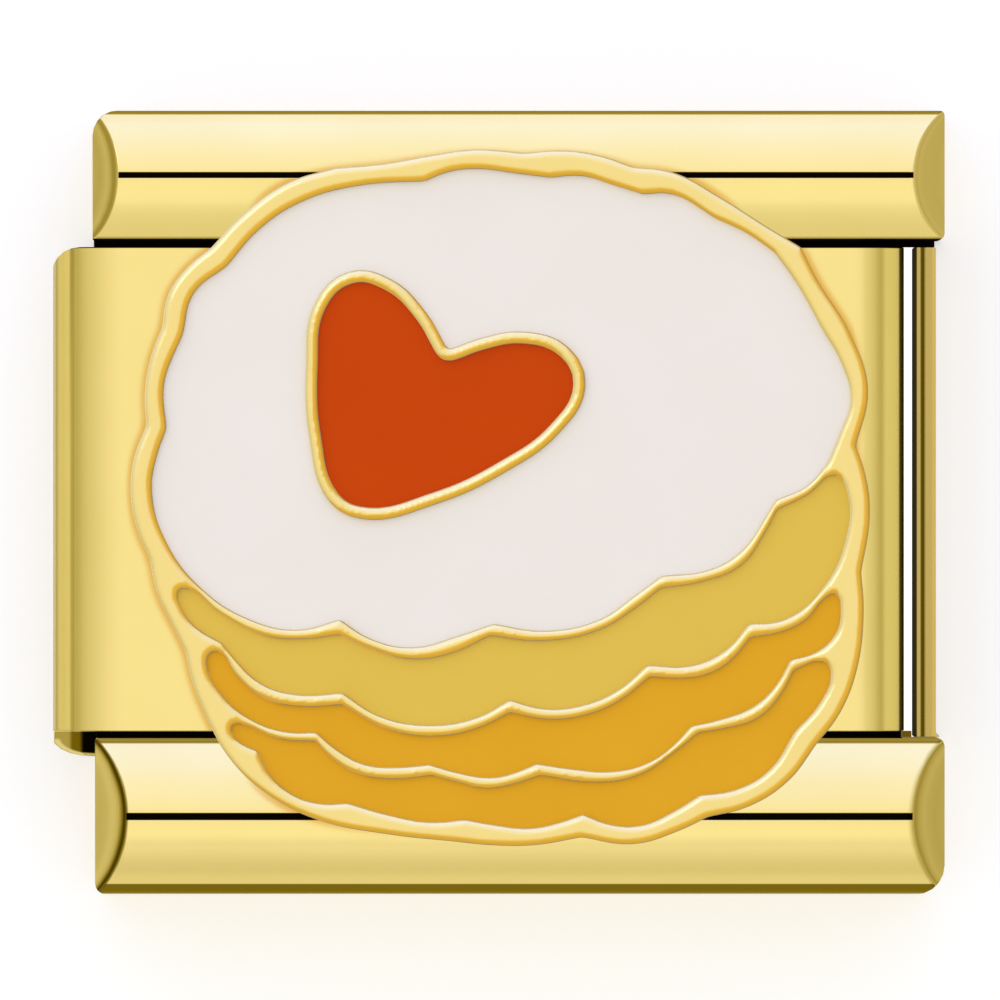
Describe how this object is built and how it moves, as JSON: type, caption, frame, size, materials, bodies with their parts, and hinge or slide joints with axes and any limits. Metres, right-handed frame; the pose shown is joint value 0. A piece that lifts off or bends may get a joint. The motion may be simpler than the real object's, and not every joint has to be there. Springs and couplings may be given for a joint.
{
  "type": "bracelet charm link",
  "caption": "Gold-coloured bracelet link with domed rails, a folded sleeve and an enamelled plate in the shape of an iced biscuit with a heart.",
  "frame": {"origin": "middle of the underside of the whole link, which lies on its back", "axes": "+X along the link's long side towards the slit and the hook bar, +Y towards the plate's top edge as the picture on it stands, +Z out of the link's face"},
  "size_m": [0.0102, 0.009, 0.0034],
  "materials": {
    "link_gold": "polished gold-coloured plating on steel",
    "plate_gold": "soft polished gold-coloured plating",
    "enamel_white": "smooth warm white enamel",
    "enamel_red": "smooth orange-red enamel",
    "enamel_ochre": "smooth ochre enamel",
    "enamel_amber": "smooth amber enamel"
  },
  "bodies": {
    "root": {"rail_top": "link_gold", "rail_bottom": "link_gold", "sleeve": "link_gold", "hook_bar": "link_gold", "charm_plate": "plate_gold", "enamel_icing": "enamel_white", "enamel_heart": "enamel_red", "enamel_layer_upper": "enamel_ochre", "enamel_layer_middle": "enamel_amber", "enamel_layer_lower": "enamel_amber"}
  },
  "joints": []
}
